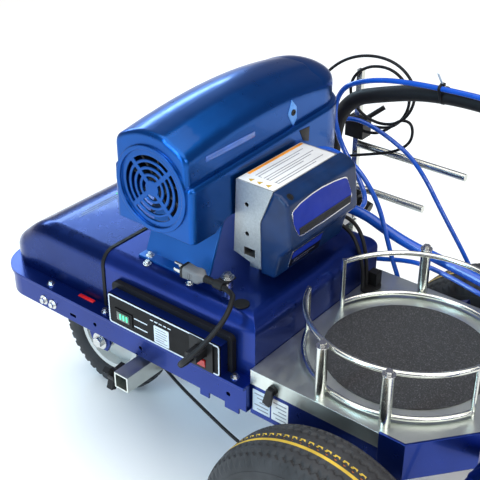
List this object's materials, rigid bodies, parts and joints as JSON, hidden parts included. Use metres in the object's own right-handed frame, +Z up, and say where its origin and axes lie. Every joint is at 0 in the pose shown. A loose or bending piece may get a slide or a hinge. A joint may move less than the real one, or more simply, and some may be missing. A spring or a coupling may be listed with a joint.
{
  "type": "line striping machine",
  "caption": "Walk-behind battery line striping machine with rear wheels, a front caster, a battery hood, an electric pump drive, a pail tray and a sliding gun arm.",
  "frame": {"origin": "bottom centre of the whole machine's bounding box without its loose hoses and cords, on the ground", "axes": "+X to the machine's right, +Y forward to the caster, +Z up"},
  "size_m": [0.7934, 1.6116, 0.9487],
  "materials": {
    "blue_paint": "gloss powder coat",
    "blue_paint_light": "satin powder coat",
    "blue_gloss": "gloss moulded shroud",
    "black_paint": "satin",
    "white_paint": "satin",
    "steel": "machined",
    "zinc_bright": "bright zinc",
    "zinc_plate": "zinc plated sheet",
    "chromed": "hard chrome",
    "cast_alloy": "cast",
    "black_rubber": "matt",
    "black_hose": "ribbed",
    "blue_hose": "smooth hose jacket",
    "tyre_rubber": "moulded tread",
    "black_plastic": "moulded",
    "navy_plastic": "moulded",
    "red_plastic": "moulded",
    "grey_plastic": "moulded"
  },
  "bodies": {
    "machine": {"batteries": "black_plastic", "blue_hoses": "blue_hose", "body_seals": "black_rubber", "cable_clips": "black_rubber", "charger": "black_paint", "chassis_frame": "blue_paint", "control_cover": "navy_plastic", "control_housing": "zinc_plate", "control_leads": "black_rubber", "deck_cover": "blue_paint", "drain_hose": "black_rubber", "drive_housing": "cast_alloy", "fluid_manifold": "cast_alloy", "grip_pad": "black_rubber", "gun_hose": "blue_hose", "gun_leads": "black_rubber", "hand_grips": "black_rubber", "handlebar": "blue_paint", "hex_bolts": "zinc_bright", "hood": "blue_paint", "hose_fittings": "zinc_bright", "inlet_connector": "black_plastic", "mains_plug": "grey_plastic", "motor_can": "black_paint", "motor_cradle": "blue_paint_light", "motor_shroud": "blue_gloss", "pail_ring": "zinc_plate", "pail_tray": "zinc_plate", "paint_hose": "blue_hose", "panel_face": "black_paint", "power_cord": "black_rubber", "power_inlet": "black_plastic", "pump_cylinder": "chromed", "rear_axle": "steel", "receiver_tube": "zinc_plate", "suction_hose": "black_hose", "suction_strainer": "steel"},
    "left_wheel": {"left_tyre": "tyre_rubber", "left_rim": "steel"},
    "right_wheel": {"right_tyre": "tyre_rubber", "right_rim": "steel"},
    "caster_yoke": {"caster_fork": "blue_paint", "caster_axle": "zinc_bright"},
    "caster_wheel": {"caster_tyre": "tyre_rubber", "caster_rim": "white_paint"},
    "lock_pin_body": {"lock_pin": "steel"},
    "rotor": {"motor_rotor": "steel"},
    "crank": {"crank_gear": "steel"},
    "pump_piston": {"pump_rod": "chromed"},
    "prime_handle": {"prime_valve": "black_plastic"},
    "pressure_dial": {"pressure_knob": "black_plastic"},
    "switch_rocker": {"power_switch": "red_plastic"},
    "latch": {"tray_latch": "black_plastic"},
    "clamp_knob": {"receiver_knob": "black_plastic"},
    "gun_boom": {"gun_arm": "zinc_plate", "gun_clamps": "black_plastic", "spray_gun": "cast_alloy"},
    "trigger": {"gun_trigger": "black_plastic"},
    "lever_left": {"left_lever": "black_plastic"},
    "lever_right": {"right_lever": "black_plastic"}
  },
  "joints": [
    {"name": "left_wheel_spin", "type": "hinge", "parent": "machine", "child": "left_wheel", "pos_m": [-0.33767, -0.04619, 0.203], "axis": [-1, 0, 0], "continuous": true},
    {"name": "right_wheel_spin", "type": "hinge", "parent": "machine", "child": "right_wheel", "pos_m": [0.25133, -0.04619, 0.203], "axis": [-1, 0, 0], "continuous": true},
    {"name": "caster_swivel", "type": "hinge", "parent": "machine", "child": "caster_yoke", "pos_m": [-0.05367, 0.71881, 0.3], "axis": [0, 0, 1], "continuous": true},
    {"name": "caster_spin", "type": "hinge", "parent": "caster_yoke", "child": "caster_wheel", "pos_m": [-0.05367, 0.67381, 0.132], "axis": [-1, 0, 0], "continuous": true},
    {"name": "lock_pin_slide", "type": "slide", "parent": "machine", "child": "lock_pin_body", "axis": [0, 0, 1], "range_m": [-0.008, 0]},
    {"name": "motor_spin", "type": "hinge", "parent": "machine", "child": "rotor", "pos_m": [-0.05367, 0.37181, 0.644], "axis": [1, 0, 0], "continuous": true},
    {"name": "crank_spin", "type": "hinge", "parent": "machine", "child": "crank", "pos_m": [-0.05367, 0.35781, 0.59185], "axis": [1, 0, 0], "continuous": true},
    {"name": "pump_stroke", "type": "slide", "parent": "machine", "child": "pump_piston", "axis": [0, 0, 1], "range_m": [-0.008, 0.008]},
    {"name": "prime_turn", "type": "hinge", "parent": "machine", "child": "prime_handle", "pos_m": [0.21633, 0.29081, 0.478], "axis": [-1, 0, 0], "range_deg": [0, 90]},
    {"name": "pressure_turn", "type": "hinge", "parent": "machine", "child": "pressure_dial", "pos_m": [0.06433, 0.19981, 0.6], "axis": [1, 0, 0], "range_deg": [0, 270]},
    {"name": "power_rocker", "type": "hinge", "parent": "machine", "child": "switch_rocker", "pos_m": [-0.26167, 0.24681, 0.379], "axis": [0, 1, 0], "range_deg": [0, 14]},
    {"name": "latch_turn", "type": "hinge", "parent": "machine", "child": "latch", "pos_m": [-0.25167, 0.11181, 0.378], "axis": [1, 0, 0], "range_deg": [0, 90]},
    {"name": "clamp_knob_turn", "type": "hinge", "parent": "machine", "child": "clamp_knob", "pos_m": [-0.29167, 0.42281, 0.278], "axis": [0, 1, 0], "continuous": true},
    {"name": "gun_boom_slide", "type": "slide", "parent": "machine", "child": "gun_boom", "axis": [1, 0, 0], "range_m": [0, 0.1]},
    {"name": "gun_trigger_pull", "type": "hinge", "parent": "gun_boom", "child": "trigger", "pos_m": [0.34733, 0.32581, 0.242], "axis": [0, -1, 0], "range_deg": [0, 11], "stiffness_Nm_per_rad": 0.4},
    {"name": "left_lever_pull", "type": "hinge", "parent": "machine", "child": "lever_left", "pos_m": [-0.28567, -0.67719, 0.8732], "axis": [-1, 0, 0], "range_deg": [0, 10], "stiffness_Nm_per_rad": 1},
    {"name": "right_lever_pull", "type": "hinge", "parent": "machine", "child": "lever_right", "pos_m": [0.17833, -0.67719, 0.8732], "axis": [-1, 0, 0], "range_deg": [0, 10], "stiffness_Nm_per_rad": 1}
  ],
  "couplings": [
    {"joint": "crank_spin", "follows": "motor_spin", "ratio": -0.2},
    {"joint": "lock_pin_slide", "follows": "left_lever_pull", "m_per_rad": -0.04492}
  ]
}
